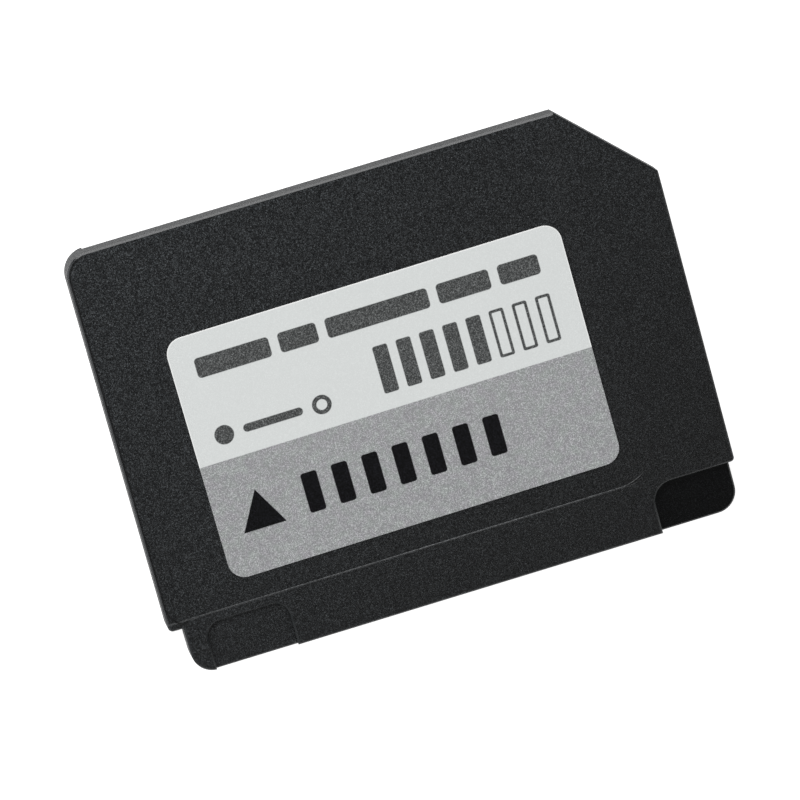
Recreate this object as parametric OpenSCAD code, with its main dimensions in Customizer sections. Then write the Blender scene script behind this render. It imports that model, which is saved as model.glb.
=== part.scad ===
// Reduced-size multimedia card: a moulded cover that holds a chip-on-board module,
// with seven contacts on the underside and a label on the face.
// +X runs across the card, +Y towards the contact end and +Z out of the label face.
// The origin is the middle of the outline, on the plane that the card lies on.

/* [Card] */
// Width across the two long sides
card_w = 24; // [20:0.1:30]
// Length from the contact end to the tail end
card_l = 18; // [15:0.1:24]
// Thickness over the tail
card_t = 1.4; // [1.2:0.05:2]
// Length of the cut corner along each side
cut_leg = 3.5; // [2:0.1:3.9]
// Radius of the corner at the other end of the contact row
corner_r = 1; // [0.5:0.1:1.5]
// Break of the upper edges
edge_c = 0.07; // [0.04:0.01:0.1]
// Lead-in under the contact end and the cut corner
lead_c = 0.4; // [0.1:0.05:0.45]
// Break of the lower edges along the sides
under_c = 0.12; // [0.05:0.01:0.15]

/* [Tail] */
// Length of the narrow tail
tail_l = 2.05; // [1.5:0.05:3]
// How far the tail stands back on the left
tail_in_left = 0.6; // [0.3:0.05:1]
// How far the tail stands back on the right
tail_in_right = 0.2; // [0.15:0.05:1]
// Radius of the two tail corners
tail_r = 0.9; // [0.4:0.05:1.2]
// Radius of the shoulder corners
shoulder_r = 0.2; // [0.15:0.01:0.3]

/* [Tail pockets] */
// Width of the closed pocket on the left
pocket_w = 3.45; // [2:0.05:6]
// Wall between that pocket and the side of the tail
pocket_wall = 0.85; // [0.5:0.05:2]
// Land between that pocket and the line of the shoulders
pocket_land = 0.1; // [0:0.05:0.5]
// Depth of that pocket below the tail's face
pocket_d = 0.25; // [0.15:0.05:0.8]
// Radius of its upper corners
pocket_r = 0.65; // [0.3:0.05:1]
// Width of the open ledge on the right
ledge_w = 3.4; // [2:0.1:6]
// Depth of the ledge below the tail's face
ledge_d = 0.5; // [0.2:0.05:0.9]
// Radius of the ledge's inner corner
ledge_r = 0.85; // [0.3:0.05:1.2]

/* [Label field] */
// Depth of the field below the tail's face
field_d = 0.06; // [0.04:0.01:0.15]
// Land between the field and the line of the shoulders
field_land = 0.3; // [0.2:0.01:1]
// Strip that stays at full thickness beside the field
field_strip = 3.6; // [2:0.1:6]
// Radius of the field's lower corner
field_r = 0.85; // [0.5:0.05:1.5]

/* [Label] */
// Thickness of the label
label_t = 0.05; // [0.04:0.01:0.1]
// Radius of its corners
label_r = 0.7; // [0.3:0.05:1.5]
// Bare field to the left of the label
label_left = 3; // [1:0.05:5]
// Bare field to the right of the label
label_right = 0.85; // [0.4:0.05:3]
// Bare field between the label and the contact end
label_top = 4.35; // [1:0.05:6]
// Bare field below the label
label_bottom = 1.05; // [0.4:0.05:3]
// How far the label sits out of square, in degrees
label_turn = 0.4; // [-1:0.1:1]
// Flat floor that is left beside the label before the field runs out
label_clear = 0.1; // [0.05:0.05:0.3]

/* [Contacts] */
// Number of contacts
pad_count = 7; // [3:1:7]
// Distance between the middles of neighbouring contacts
pad_pitch = 2.5; // [2:0.05:2.7]
// Width of a contact
pad_w = 1.6; // [1.2:0.05:1.9]
// Length of a contact
pad_l = 4; // [2:0.1:5]
// Thickness of a contact with its plating
pad_t = 0.04; // [0.03:0.01:0.05]
// How far the row's middle lies from the card's, away from the cut corner
pad_shift = 0.25; // [0:0.05:0.5]
// Start of the contacts, from the edge of the board
pad_in = 0.35; // [0.1:0.05:1]
// Bare board between the first contact and the cut corner
pad_clear = 0.05; // [0.05:0.05:0.3]

/* [Board] */
// Thickness of the laminate
board_t = 0.22; // [0.15:0.01:0.3]
// Underside of the laminate above the resting plane
board_up = 0.08; // [0.06:0.01:0.12]
// Radius of the board's corners
board_r = 0.4; // [0.2:0.05:0.6]
// Wall of the cover beside the board
rim_side = 0.9; // [0.7:0.05:1.2]
// Wall of the cover at the contact end and the cut corner
rim_end = 0.6; // [0.55:0.05:0.8]
// Solid length of the cover between the board and the line of the shoulders
rim_tail = 0.9; // [0.5:0.1:2]
// Gap around the board in its seat
board_gap = 0.05; // [0.02:0.01:0.1]

/* [Chip moulding] */
// Height of the moulding over the board
cap_t = 0.62; // [0.5:0.01:0.7]
// Ledge of bare board around the moulding
cap_ledge = 0.5; // [0.3:0.05:0.8]
// Gap between the moulding and the cover's inner walls
cap_gap = 0.12; // [0.05:0.01:0.3]
// Radius of the moulding's corners
cap_r = 0.3; // [0.2:0.05:0.6]
// Thickness of the adhesive film under the cover's roof
film_t = 0.05; // [0.03:0.01:0.08]
// How far the film stays back from the moulding's edges
film_in = 0.5; // [0.2:0.1:2]

/* [Chips] */
// Width of the memory chip
memory_w = 9.5; // [6:0.1:12]
// Length of the memory chip
memory_l = 8; // [5:0.1:9.5]
// Thickness of the memory chip
memory_t = 0.25; // [0.1:0.01:0.3]
// Width of the controller chip
control_w = 4; // [2:0.1:5]
// Length of the controller chip
control_l = 3.6; // [2:0.1:4.5]
// Thickness of the controller chip
control_t = 0.2; // [0.1:0.01:0.3]
// Thickness of the film that bonds each chip to the board
bond_t = 0.03; // [0.02:0.01:0.05]
// Moulding left between a chip's wires and the side of the moulding
chip_in = 0.5; // [0.3:0.1:1]

/* [Bond wires] */
// Diameter of a wire
wire_d = 0.03; // [0.02:0.005:0.05]
// Height of a wire's loop over its chip
wire_rise = 0.1; // [0.05:0.01:0.15]
// Distance that a wire reaches past the edge of its chip
wire_reach = 0.6; // [0.4:0.05:0.8]
// How far its bond lies inside that edge
wire_in = 0.06; // [0.04:0.01:0.1]
// Wires on each side of the memory chip
memory_wires = 10; // [4:1:12]
// Wires on each side of the controller chip
control_wires = 6; // [4:1:8]

/* [Small parts] */
// Length of a capacitor or resistor
small_l = 1; // [0.6:0.1:1.2]
// Width of a capacitor or resistor
small_w = 0.5; // [0.3:0.1:0.7]
// Height of a capacitor
capacitor_t = 0.45; // [0.3:0.05:0.5]
// Height of a resistor
resistor_t = 0.35; // [0.2:0.05:0.45]
// Distance between the middles of neighbours in a row
small_pitch = 1.4; // [1.3:0.1:1.6]
// Space between a row and the controller chip
small_gap = 0.9; // [0.4:0.1:1.5]

/* [Hidden] */
$fn = 64;
// How far a cutting shape reaches past the face that it cuts
over = 0.05;
half_w = card_w / 2;
half_l = card_l / 2;
// Line of the two shoulders, and the sides of the tail
shoulder_y = tail_l - half_l;
tail_x0 = tail_in_left - half_w;
tail_x1 = half_w - tail_in_right;
// Radii of the two shoulder corners, each limited by the step that it rounds
left_r = min(shoulder_r, 0.8 * tail_in_left);
right_r = min(shoulder_r, 0.8 * tail_in_right);
// Break of the lower edges, limited by those corners
low_c = min(under_c, 0.8 * left_r, 0.8 * right_r);
// Floors of the two tail pockets
pocket_z = card_t - pocket_d;
ledge_z = card_t - ledge_d;
pocket_x = tail_x0 + pocket_wall;
pocket_y = shoulder_y - pocket_land;
ledge_x = tail_x1 - ledge_w;
// Floor, lower edge and right edge of the label field
field_z = card_t - field_d;
field_y = shoulder_y + field_land;
field_x = half_w - field_strip;
// Sides of the label, and the line where the field's floor starts to rise
label_x0 = label_left - half_w;
label_x1 = field_x - label_right;
label_y0 = field_y + label_bottom;
label_y1 = half_l - label_top;
run_x = label_x1 + label_clear;
// The board lies against a ledge at this height, and the moulding stands up from there
seat_z = board_up + board_t;
cap_z = seat_z + cap_t;
roof_z = cap_z + film_t;
// Sides of the board
board_x = half_w - rim_side;
board_y0 = shoulder_y + rim_tail;
board_y1 = half_l - rim_end;
// The cut corner is the line x + y = cut_sum, and the board's own is parallel to it
cut_sum = half_w + half_l - cut_leg;
board_sum = cut_sum - rim_end * sqrt(2);
// Middle of the first contact, and the end of the row towards the contact end
pad_x = (pad_count - 1) * pad_pitch / 2 - pad_shift;
pad_y = min(board_y1 - pad_in, board_sum - pad_clear - pad_x - pad_w / 2);
// Places of the chips: each stands off its own side of the moulding
chip_x = board_x - cap_ledge - chip_in - wire_reach - wire_in;
chip_y = (board_y0 + board_y1) / 2;
memory_x = memory_w / 2 - chip_x;
control_x = chip_x - control_w / 2;
// Capacitors stand above the controller chip and resistors below it
capacitor_count = 3;
resistor_count = 4;
small_y = (control_l + small_w) / 2 + small_gap;

// A corner of a plan, taken off to a radius: the material lies towards dir
module corner_off(at, dir, r) {
    translate(at)
        difference() {
            translate([dir[0] > 0 ? -over : -r, dir[1] > 0 ? -over : -r])
                square(r + over);
            translate(dir * r)
                circle(r = r);
        }
}

// The outline of the card, seen from the label side
module card_plan() {
    difference() {
        union() {
            translate([-half_w, shoulder_y])
                square([card_w, half_l - shoulder_y]);
            translate([tail_x0, -half_l])
                square([tail_x1 - tail_x0, tail_l + over]);
        }
        cut_corner(cut_sum);
        corner_off([-half_w, half_l], [1, -1], corner_r);
        corner_off([-half_w, shoulder_y], [1, 1], left_r);
        corner_off([half_w, shoulder_y], [-1, 1], right_r);
        corner_off([tail_x0, -half_l], [1, 1], tail_r);
        corner_off([tail_x1, -half_l], [-1, 1], tail_r);
    }
}

// Everything beyond the line x + y = sum, for the cut corner
module cut_corner(sum) {
    polygon([[sum - half_l - over, half_l + over], [half_w + over, half_l + over],
        [half_w + over, sum - half_w - over]]);
}

// Breaks a straight edge at 45 degrees: the edge runs from a to b with the air on its left
module edge_off(a, b, c, past = 0) {
    run = b - a;
    flat = norm([run[0], run[1]]);
    translate(a)
        rotate([0, -atan2(run[2], flat), atan2(run[1], run[0])])
            translate([-past, 0, 0])
                rotate([90, 0, 90])
                    linear_extrude(norm(run) + 2 * past)
                        polygon([[-c - over, over], [over, -c - over], [over, over]]);
}

// Breaks the edge of a round corner of radius r, from angle a0 to a1
module round_off(at, r, c, a0, a1) {
    // Stays clear of the corner's own axis
    up = min(over, (r - c) / 2);
    translate(at)
        rotate(a0)
            rotate_extrude(angle = a1 - a0)
                polygon([[r - c - up, up], [r + over, -c - over], [r + over, up]]);
}

// Breaks the edge of a hollow corner of radius r, with the air inside it
module hollow_off(at, r, c, a0, a1) {
    translate(at)
        rotate(a0)
            rotate_extrude(angle = a1 - a0)
                polygon([[r + c + over, over], [r - over, -c - over], [r - over, over]]);
}

// Breaks of the upper edges, in order round the card
module upper_breaks() {
    top_x = cut_sum - half_l;
    side_y = cut_sum - half_w;
    c = edge_c;
    // The break over the rise is this much deeper, so that it crosses its neighbours in clear edges
    deeper = 0.005;
    edge_off([-half_w, shoulder_y + left_r, field_z], [-half_w, half_l - corner_r, field_z], c);
    round_off([corner_r - half_w, half_l - corner_r, field_z], corner_r, c, 90, 180);
    edge_off([corner_r - half_w, half_l, field_z], [run_x, half_l, field_z], c);
    edge_off([run_x, half_l, field_z], [field_x, half_l, card_t], c + deeper, over);
    edge_off([field_x, half_l, card_t], [top_x, half_l, card_t], c, over);
    edge_off([top_x, half_l, card_t], [half_w, side_y, card_t], c, over);
    edge_off([half_w, side_y, card_t], [half_w, shoulder_y + right_r, card_t], c);
    round_off([half_w - right_r, shoulder_y + right_r, card_t], right_r, c, 270, 360);
    edge_off([half_w - right_r, shoulder_y, card_t], [ledge_x + ledge_r, shoulder_y, card_t], c);
    edge_off([tail_x1 - tail_r, -half_l, card_t], [tail_x0 + tail_r, -half_l, card_t], c);
    round_off([tail_x0 + tail_r, tail_r - half_l, card_t], tail_r, c, 180, 270);
    edge_off([tail_x0, tail_r - half_l, card_t], [tail_x0, shoulder_y, card_t], c);
    edge_off([tail_x0, shoulder_y, card_t], [left_r - half_w, shoulder_y, card_t], c);
    round_off([left_r - half_w, shoulder_y + left_r, card_t], left_r, c, 180, 270);
    edge_off([-half_w, shoulder_y + left_r, card_t], [-half_w, field_y, card_t], c);
}

// Breaks of the edges round the two tail pockets, and of their floors' outer edges
module pocket_breaks() {
    x1 = pocket_x + pocket_w;
    c = edge_c;
    edge_off([pocket_x, pocket_y - pocket_r, card_t], [pocket_x, -half_l, card_t], c);
    hollow_off([pocket_x + pocket_r, pocket_y - pocket_r, card_t], pocket_r, c, 90, 180);
    edge_off([x1 - pocket_r, pocket_y, card_t], [pocket_x + pocket_r, pocket_y, card_t], c);
    hollow_off([x1 - pocket_r, pocket_y - pocket_r, card_t], pocket_r, c, 0, 90);
    edge_off([x1, -half_l, card_t], [x1, pocket_y - pocket_r, card_t], c);
    edge_off([x1, -half_l, pocket_z], [pocket_x, -half_l, pocket_z], c);
    hollow_off([ledge_x + ledge_r, shoulder_y - ledge_r, card_t], ledge_r, c, 90, 180);
    edge_off([ledge_x, shoulder_y - ledge_r, card_t], [ledge_x, -half_l, card_t], c);
    edge_off([tail_x1, shoulder_y, ledge_z], [tail_x1, tail_r - half_l, ledge_z], c);
    round_off([tail_x1 - tail_r, tail_r - half_l, ledge_z], tail_r, c, 270, 360);
    edge_off([tail_x1 - tail_r, -half_l, ledge_z], [ledge_x, -half_l, ledge_z], c);
}

// Breaks of the lower edges, drawn upside down
module lower_breaks() {
    top_x = cut_sum - half_l;
    side_y = cut_sum - half_w;
    mirror([0, 0, 1]) {
        edge_off([corner_r - half_w, half_l, 0], [top_x, half_l, 0], lead_c, over);
        edge_off([top_x, half_l, 0], [half_w, side_y, 0], lead_c, over);
        edge_off([half_w, side_y, 0], [half_w, shoulder_y + right_r, 0], low_c);
        round_off([half_w - right_r, shoulder_y + right_r, 0], right_r, low_c, 270, 360);
        round_off([left_r - half_w, shoulder_y + left_r, 0], left_r, low_c, 180, 270);
        edge_off([half_w - right_r, shoulder_y, 0], [tail_x1, shoulder_y, 0], low_c);
        edge_off([tail_x0, shoulder_y, 0], [left_r - half_w, shoulder_y, 0], low_c);
        edge_off([tail_x0, tail_r - half_l, 0], [tail_x0, shoulder_y, 0], low_c);
        edge_off([tail_x1, shoulder_y, 0], [tail_x1, tail_r - half_l, 0], low_c);
        edge_off([-half_w, shoulder_y + left_r, 0], [-half_w, half_l - corner_r, 0], low_c);
        round_off([corner_r - half_w, half_l - corner_r, 0], corner_r, low_c, 90, 180);
        edge_off([tail_x1 - tail_r, -half_l, 0], [tail_x0 + tail_r, -half_l, 0], low_c);
        round_off([tail_x0 + tail_r, tail_r - half_l, 0], tail_r, low_c, 180, 270);
        round_off([tail_x1 - tail_r, tail_r - half_l, 0], tail_r, low_c, 270, 360);
    }
}

// The shallow field for the label, open on the left and at the contact end
module label_field() {
    far = field_d + over;
    // Steep slope under the field's lower edge, half as wide as the field is deep
    slope = [[0, 0], [far / 2, far], [far, far], [far, -over], [0, -over]];
    intersection() {
        difference() {
            translate([-half_w - over, field_y - far, field_z])
                cube([card_w - field_strip + over + far, half_l - field_y + far + over, field_d + over]);
            translate([-half_w - 2 * over, field_y, field_z])
                rotate([90, 0, 90])
                    linear_extrude(card_w - field_strip - field_r + 2 * over)
                        polygon([for (p = slope) [-p[0], p[1]]]);
            translate([field_x - field_r, field_y + field_r, field_z])
                rotate(270)
                    rotate_extrude(angle = 90)
                        polygon([for (p = slope) [field_r + p[0], p[1]]]);
            field_corner();
        }
        translate([0, half_l + 2 * over, 0])
            rotate([90, 0, 0])
                linear_extrude(half_l - field_y + far + 3 * over)
                    polygon([[-half_w - 2 * over, field_z - over], [run_x, field_z - over], [run_x, field_z],
                        [field_x, card_t], [field_x + field_d, card_t + field_d],
                        [-half_w - 2 * over, card_t + field_d]]);
    }
}

// What lies outside the round corner of the field, beyond its slope
module field_corner() {
    far = field_d + over;
    translate([0, 0, field_z - over])
        linear_extrude(field_d + 3 * over)
            translate([field_x - field_r, field_y - far])
                difference() {
                    square([field_r + 2 * far, field_r + far]);
                    translate([0, field_r + far])
                        circle(r = field_r + far);
                }
}

// The closed pocket on the left of the tail
module left_pocket() {
    translate([0, 0, pocket_z])
        linear_extrude(pocket_d + over)
            difference() {
                translate([pocket_x, -half_l - over])
                    square([pocket_w, pocket_y + half_l + over]);
                corner_off([pocket_x, pocket_y], [1, -1], pocket_r);
                corner_off([pocket_x + pocket_w, pocket_y], [-1, -1], pocket_r);
            }
}

// The ledge on the right of the tail, open at the side and at the end
module right_ledge() {
    translate([0, 0, ledge_z])
        linear_extrude(ledge_d + over)
            difference() {
                translate([ledge_x, -half_l - over])
                    square([ledge_w + over, tail_l + over]);
                corner_off([ledge_x, shoulder_y], [1, -1], ledge_r);
            }
}

// The plan of the board, larger by grow on every side, with corners of radius r
module board_plan(grow, r) {
    difference() {
        translate([-board_x - grow, board_y0 - grow])
            square([2 * (board_x + grow), board_y1 - board_y0 + 2 * grow]);
        cut_corner(board_sum + grow * sqrt(2));
        corner_off([-board_x - grow, board_y0 - grow], [1, 1], r);
        corner_off([board_x + grow, board_y0 - grow], [-1, 1], r);
        corner_off([-board_x - grow, board_y1 + grow], [1, -1], r);
    }
}

module cover() {
    color([0.13, 0.14, 0.15])
        difference() {
            linear_extrude(card_t)
                card_plan();
            label_field();
            left_pocket();
            right_ledge();
            upper_breaks();
            pocket_breaks();
            lower_breaks();
            translate([0, 0, -over])
                linear_extrude(seat_z + over)
                    board_plan(board_gap, board_r + board_gap);
            translate([0, 0, seat_z - over])
                linear_extrude(roof_z - seat_z + over)
                    board_plan(cap_gap - cap_ledge, cap_r + cap_gap);
        }
}

module label() {
    color([0.85, 0.86, 0.87])
        translate([(label_x0 + label_x1) / 2, (label_y0 + label_y1) / 2, field_z])
            rotate(label_turn)
                linear_extrude(label_t)
                    rounded_plan(label_x1 - label_x0, label_y1 - label_y0, label_r);
}

// A rectangle about the origin with round corners
module rounded_plan(w, h, r) {
    difference() {
        square([w, h], center = true);
        for (sx = [-1, 1], sy = [-1, 1])
            corner_off([sx * w / 2, sy * h / 2], [-sx, -sy], r);
    }
}

module circuit_board() {
    color([0.10, 0.16, 0.12])
        translate([0, 0, board_up])
            linear_extrude(board_t)
                board_plan(0, board_r);
}

// Contact i, counted from the side with the cut corner
module contact_pad(i) {
    color([0.83, 0.68, 0.35])
        translate([pad_x - (i - 1) * pad_pitch, pad_y - pad_l / 2, board_up - pad_t])
            linear_extrude(pad_t)
                rounded_plan(pad_w, pad_l, pad_w / 10);
}

// A block on the board, with its middle at x, y and its foot at z
module block_at(x, y, z, w, l, t) {
    translate([x - w / 2, y - l / 2, z])
        cube([w, l, t]);
}

module memory_chip() {
    color([0.45, 0.47, 0.52])
        block_at(memory_x, chip_y, seat_z + bond_t, memory_w, memory_l, memory_t);
}

module memory_chip_film() {
    color([0.75, 0.70, 0.55])
        block_at(memory_x, chip_y, seat_z, memory_w, memory_l, bond_t);
}

module controller_chip() {
    color([0.45, 0.47, 0.52])
        block_at(control_x, chip_y, seat_z + bond_t, control_w, control_l, control_t);
}

module controller_chip_film() {
    color([0.75, 0.70, 0.55])
        block_at(control_x, chip_y, seat_z, control_w, control_l, bond_t);
}

// One wire, from its bond on top of a chip at height h down to the board
module bond_wire(h) {
    top = h + wire_rise;
    span = wire_in + wire_reach;
    flat = span * 0.3;
    rotate([90, 0, 0])
        translate([-wire_in, 0, -wire_d / 2])
            linear_extrude(wire_d)
                polygon([[0, h], [0, top + wire_d], [flat + wire_d / 2, top + wire_d], [span, 0],
                    [span - wire_d, 0], [flat, top], [wire_d, top], [wire_d, h]]);
}

// The wires along the two sides of a chip of width w and length l, with its top at height h
module chip_wires(x, w, l, h, count) {
    pitch = l / (count + 1);
    for (side = [0, 180], i = [1 : count])
        translate([x, chip_y, seat_z])
            rotate(side)
                translate([w / 2, i * pitch - l / 2, 0])
                    bond_wire(h);
}

module bond_wires() {
    color([0.88, 0.72, 0.35]) {
        chip_wires(memory_x, memory_w, memory_l, bond_t + memory_t, memory_wires);
        chip_wires(control_x, control_w, control_l, bond_t + control_t, control_wires);
    }
}

module capacitor(i) {
    color([0.70, 0.58, 0.42])
        block_at(control_x + (i - (capacitor_count + 1) / 2) * small_pitch, chip_y + small_y, seat_z,
            small_l, small_w, capacitor_t);
}

module resistor(i) {
    color([0.20, 0.20, 0.22])
        block_at(control_x + (i - (resistor_count + 1) / 2) * small_pitch, chip_y - small_y, seat_z,
            small_l, small_w, resistor_t);
}

// The epoxy moulded over the chips, which fills the space around every part on the board
module chip_moulding() {
    color([0.16, 0.16, 0.17])
        difference() {
            translate([0, 0, seat_z])
                linear_extrude(cap_t)
                    board_plan(-cap_ledge, cap_r);
            memory_chip();
            memory_chip_film();
            controller_chip();
            controller_chip_film();
            bond_wires();
            for (i = [1 : capacitor_count])
                capacitor(i);
            for (i = [1 : resistor_count])
                resistor(i);
        }
}

module adhesive_film() {
    color([0.80, 0.78, 0.70])
        translate([0, 0, cap_z])
            linear_extrude(film_t)
                board_plan(-cap_ledge - film_in, cap_r);
}

cover();
label();
circuit_board();
for (i = [1 : pad_count])
    contact_pad(i);
chip_moulding();
adhesive_film();
memory_chip();
memory_chip_film();
controller_chip();
controller_chip_film();
bond_wires();
for (i = [1 : capacitor_count])
    capacitor(i);
for (i = [1 : resistor_count])
    resistor(i);
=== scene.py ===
"""Looks of a reduced-size multimedia card: finishes for every piece of the packed model, and the studio round it.

Run as a script, it finishes the card and sets the stage. Lengths are in metres, in the packed model's frame:
+X across the card, +Y towards the contact end and +Z out of the label face. Rows of marks are in millimetres.
"""

import math

import bmesh
import bpy
from bpy.props import FloatProperty, FloatVectorProperty, PointerProperty
from bpy.types import Operator, Panel, PropertyGroup
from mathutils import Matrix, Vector


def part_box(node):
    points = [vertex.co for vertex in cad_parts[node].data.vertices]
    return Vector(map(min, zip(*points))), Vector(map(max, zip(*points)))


bl_info = {
    "name": "Memory card finish",
    "version": (1, 0, 0),
    "blender": (4, 5, 0),
    "location": "3D View > Sidebar > Card",
    "description": "Finishes and studio for a reduced-size multimedia card",
    "category": "Material",
}

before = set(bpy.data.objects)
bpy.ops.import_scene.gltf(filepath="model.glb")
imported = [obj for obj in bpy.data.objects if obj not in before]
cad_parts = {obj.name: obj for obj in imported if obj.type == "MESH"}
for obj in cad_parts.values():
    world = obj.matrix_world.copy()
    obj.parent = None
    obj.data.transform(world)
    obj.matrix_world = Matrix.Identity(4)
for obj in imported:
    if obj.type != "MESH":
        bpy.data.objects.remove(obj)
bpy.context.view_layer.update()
MM = 0.001
COVER_LOW, COVER_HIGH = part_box("cover")
LABEL_LOW, LABEL_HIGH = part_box("label")
BOARD_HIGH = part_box("circuit_board")[1]


def colour(name, description, value):
    """A colour setting, in linear light."""
    return FloatVectorProperty(
        name=name, description=description, subtype="COLOR", size=3, min=0.0, max=1.0, default=value
    )


def length(name, description, value):
    """A length setting, in metres."""
    return FloatProperty(name=name, description=description, unit="LENGTH", precision=6, default=value)


def share(name, description, value):
    """A setting from none to all."""
    return FloatProperty(name=name, description=description, subtype="FACTOR", min=0.0, max=1.0, default=value)


class CoverFinish(PropertyGroup):
    """The moulded cover's plastic"""

    plastic: colour("Plastic", "Colour of the black plastic", (0.0003, 0.0006, 0.0009))
    grain_light: colour("Grain light", "Colour of the grain's raised parts", (0.0486, 0.0540, 0.0580))
    # Painted highlight: the specks' colour stands in for glints where the grain catches the light
    speck: colour("Speck", "Colour of the grain's brightest points", (0.098, 0.106, 0.111))
    broken_edge: colour("Broken edge", "Colour of the broken edges", (0.004, 0.005, 0.006))
    # Painted light: the broken edges that face left are drawn lighter, as if lit from that side
    side_edge_light: colour("Side edge", "Colour of the rubbed edge along the left side", (0.044, 0.046, 0.048))
    tail_edge: colour("Tail edge", "Colour of the broken edges of the tail", (0.016, 0.018, 0.019))
    # Painted highlight: a light line along the field's lower edge, where its low wall catches the light
    field_edge_highlight: colour("Field edge", "Colour of the rubbed lower edge of the label's field", (0.175, 0.18, 0.185))
    grain: length("Grain", "Size of one grain of the moulding's surface", 0.041 * MM)
    grain_depth: length("Grain depth", "Height of the grain", 0.004 * MM)
    glint: FloatProperty(
        name="Glint", description="How few of the grains catch the light, as a power of their tone", default=1.4
    )
    glint_specks_shown: share("Speckled", "How much of the specks' colour shows", 0.36)
    edge_cover: share("Edge cover", "How much of the broken edges' colour shows", 0.9)
    # Painted sheen: the plastic is drawn lighter towards +Y and darker towards +X, where the light's sheen falls off
    sheen_across: FloatProperty(
        name="Fade across", description="How much lighter the plastic gets in each metre towards +X", default=-24.0
    )
    sheen_along: FloatProperty(
        name="Fade along", description="How much lighter the plastic gets in each metre towards +Y", default=36.0
    )
    roughness: share("Roughness", "Roughness of the plastic", 0.37)
    # Painted shade: the floor of the recessed ledge is darkened
    ledge_shade: share("Ledge shade", "How much of its colour the smooth floor of the tail's ledge keeps", 0.43)


class LabelFinish(PropertyGroup):
    """The label's paper and print"""

    paper: colour("Paper", "Colour of the label's upper field", (0.515, 0.532, 0.527))
    lower_field: colour("Lower field", "Colour of the label's lower field", (0.273, 0.283, 0.283))
    grey_ink: colour("Grey ink", "Colour of the marks on the upper field", (0.066, 0.069, 0.069))
    black_ink: colour("Black ink", "Colour of the marks on the lower field", (0.0015, 0.0015, 0.002))
    purplish: colour("Purplish tint", "Tint of the print's purplish patches", (1.0, 0.955, 1.0))
    greenish: colour("Greenish tint", "Tint of the print's greenish patches", (0.965, 0.985, 0.965))
    cut_edge: colour("Cut edge", "Colour of the paper where it is cut", (0.80, 0.80, 0.79))
    rim: share("Rim", "How much of the pale paper shows along the edge of the upper field", 0.6)
    field_line: length("Field line", "Where the two fields meet, above the label's middle", -0.25 * MM)
    turn: FloatProperty(
        name="Turn", description="How far the label sits out of square", subtype="ANGLE", default=math.radians(0.4)
    )
    screen: length("Screen", "Size of the specks in the printed grey", 0.034 * MM)
    relief: length("Relief", "Thickness of the print", 0.003 * MM)
    roughness: share("Roughness", "Roughness of the label", 0.36)


class BoardFinish(PropertyGroup):
    """The circuit board's solder mask"""

    mask: colour("Solder mask", "Colour of the mask over bare laminate", (0.006, 0.020, 0.012))
    copper_under: colour("Mask over copper", "Colour of the mask where copper lies under it", (0.014, 0.048, 0.026))
    roughness: share("Roughness", "Roughness of the mask", 0.32)
    trace_width: length("Trace width", "Width of a copper trace", 0.2 * MM)
    grain: length("Grain", "Size of the grain of the mask's surface", 0.12 * MM)
    weave: length("Weave", "Size of the laminate's cloudy patches", 0.35 * MM)
    relief: length("Relief", "Thickness of the copper under the mask", 0.012 * MM)


class ContactFinish(PropertyGroup):
    """The plating of the contacts and the bond wires"""

    gold: colour("Gold", "Colour of the plating", (0.86, 0.62, 0.28))
    rubbed: colour("Rubbed gold", "Colour where a socket's spring has rubbed", (0.70, 0.50, 0.23))
    roughness: share("Roughness", "Roughness of the plating", 0.28)
    line: length("Line", "Spacing of the fine lines that a spring leaves", 0.03 * MM)
    grain: length("Grain", "Size of the grain of the plating", 0.06 * MM)
    relief: length("Relief", "Depth of the fine lines", 0.001 * MM)


class ModuleFinish(PropertyGroup):
    """The pieces inside the card"""

    epoxy: colour("Epoxy", "Colour of the moulded epoxy", (0.016, 0.016, 0.017))
    film: colour("Film", "Colour of the adhesive films", (0.60, 0.54, 0.38))
    silicon: colour("Silicon", "Colour of the chips", (0.13, 0.14, 0.17))
    capacitor: colour("Capacitor", "Colour of a capacitor's ceramic", (0.36, 0.24, 0.14))
    resistor: colour("Resistor", "Colour of a resistor's glaze", (0.022, 0.022, 0.026))
    grain: length("Grain", "Size of the grain of ceramic and epoxy", 0.04 * MM)


class StageSizes(PropertyGroup):
    """The camera, the floor and the lights"""

    camera_place: FloatVectorProperty(
        name="Camera", description="Place of the camera", subtype="TRANSLATION", unit="LENGTH",
        default=(-0.02498, 0.06157, 0.25410),
    )
    camera_turn: FloatVectorProperty(
        name="Camera turn", description="Turn of the camera", subtype="EULER", unit="ROTATION",
        default=(math.radians(-11.793), math.radians(-8.981), math.radians(-15.251)),
    )
    lens: FloatProperty(name="Lens", description="Focal length in millimetres", default=292.9)
    floor: colour("Floor", "Colour of the floor", (0.58, 0.58, 0.58))
    floor_size: length("Floor size", "Length of one side of the floor", 1.6)
    floor_roughness: share("Floor roughness", "Roughness of the floor", 0.8)
    floor_glow: FloatProperty(
        name="Floor glow", description="Light that the camera sees the floor give off", default=0.80
    )
    sky: colour("Surroundings", "Colour of the room round the stage", (1.0, 1.0, 1.0))
    room_light: FloatProperty(name="Room light", description="Light from the room", default=0.10)
    backdrop: FloatProperty(name="Backdrop", description="Brightness of the room as the camera sees it", default=0.97)
    strip_power: FloatProperty(name="Strip", description="Low light behind the contact end, in watts", default=1.1)
    key_power: FloatProperty(name="Key", description="High light behind the contact end, in watts", default=3.2)
    side_power: FloatProperty(name="Side", description="Light on the left, in watts", default=1.1)
    fill_power: FloatProperty(name="Fill", description="Light in front of the tail, in watts", default=1.0)


def add(tree, kind, sockets=None, **settings):
    """A node with its settings, and each named socket given a value or joined to another node's output."""
    made = tree.nodes.new(kind)
    for key, value in settings.items():
        setattr(made, key, value)
    for key, value in (sockets or {}).items():
        if isinstance(value, bpy.types.NodeSocket):
            tree.links.new(value, made.inputs[key])
        else:
            made.inputs[key].default_value = value
    return made


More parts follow.
